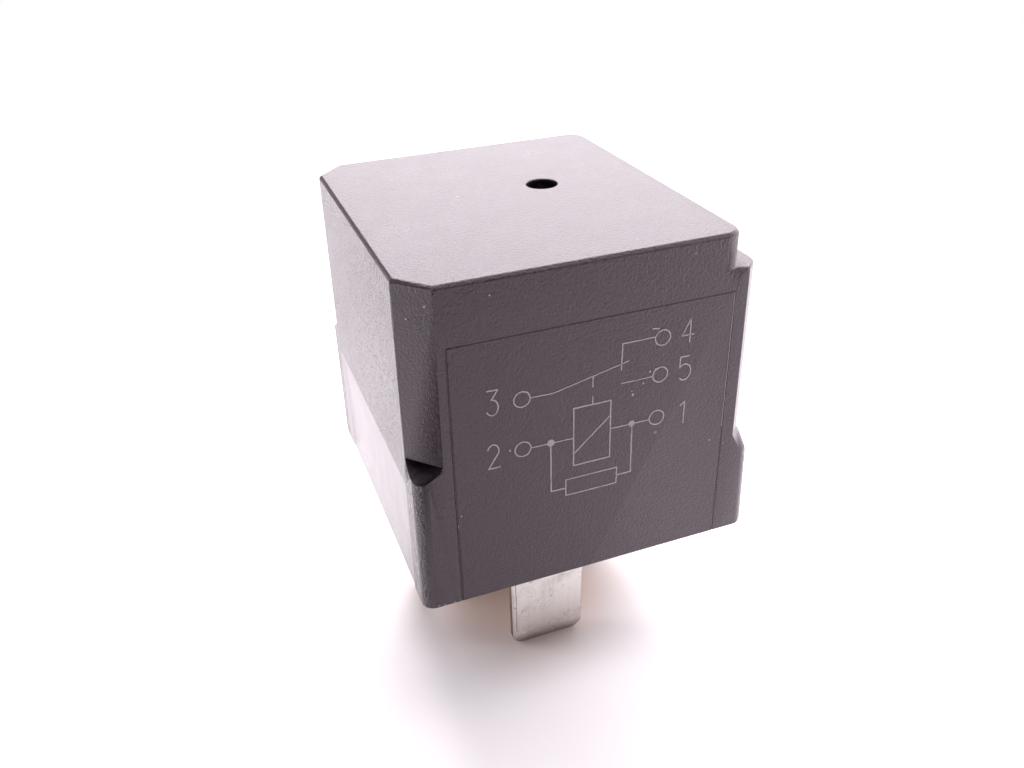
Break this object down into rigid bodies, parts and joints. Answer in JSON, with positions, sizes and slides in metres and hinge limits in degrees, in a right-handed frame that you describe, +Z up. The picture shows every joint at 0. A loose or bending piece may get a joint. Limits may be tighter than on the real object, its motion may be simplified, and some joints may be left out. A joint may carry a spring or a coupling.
{
  "type": "automotive relay",
  "caption": "Plug-in changeover relay in a stepped plastic case with flat blade terminals, a hinged armature and a coil with a parallel resistor.",
  "frame": {"origin": "middle of the seating plane, under the upper block of the case, where the case sits on its socket", "axes": "+X towards the stepped side, +Y to the rear, away from the printed front face, +Z up, away from the blades"},
  "size_m": [0.0257, 0.026, 0.0367],
  "materials": {
    "cover_plastic": "fine spark-eroded grain, matt",
    "base_plastic": "matt",
    "tinned_brass": "tin plated, dull, slightly dirty",
    "bobbin_plastic": "semi-gloss",
    "enamelled_copper": "enamelled wire",
    "coil_tape": "polyester film",
    "magnet_iron": "nickel plated iron",
    "spring_bronze": "rolled strip",
    "contact_silver": "silver alloy",
    "rivet_steel": "satin",
    "resistor_body": "lacquered",
    "tinned_wire": "tinned",
    "solder": "bright solder"
  },
  "bodies": {
    "case": {"cover": "cover_plastic", "base": "base_plastic", "terminal_1_coil": "tinned_brass", "terminal_2_coil": "tinned_brass", "terminal_3_common": "tinned_brass", "terminal_4_nc": "tinned_brass", "terminal_5_no": "tinned_brass", "bobbin": "bobbin_plastic", "coil_winding": "enamelled_copper", "coil_tape": "coil_tape", "core": "magnet_iron", "yoke": "magnet_iron", "nc_contact": "contact_silver", "no_contact": "contact_silver", "yoke_rivets": "rivet_steel", "resistor": "resistor_body", "resistor_leads": "tinned_wire", "solder_joints": "solder"},
    "armature_group": {"armature": "magnet_iron", "contact_spring": "spring_bronze", "moving_contact": "contact_silver", "armature_rivets": "rivet_steel"}
  },
  "joints": [
    {"name": "armature_tilt", "type": "hinge", "parent": "case", "child": "armature_group", "pos_m": [0, 0.0093, 0.0166], "axis": [1, 0, 0], "range_deg": [0, 3.1], "stiffness_Nm_per_rad": 0.02, "springref_deg": -2.86, "deforming": ["contact_spring"]}
  ]
}
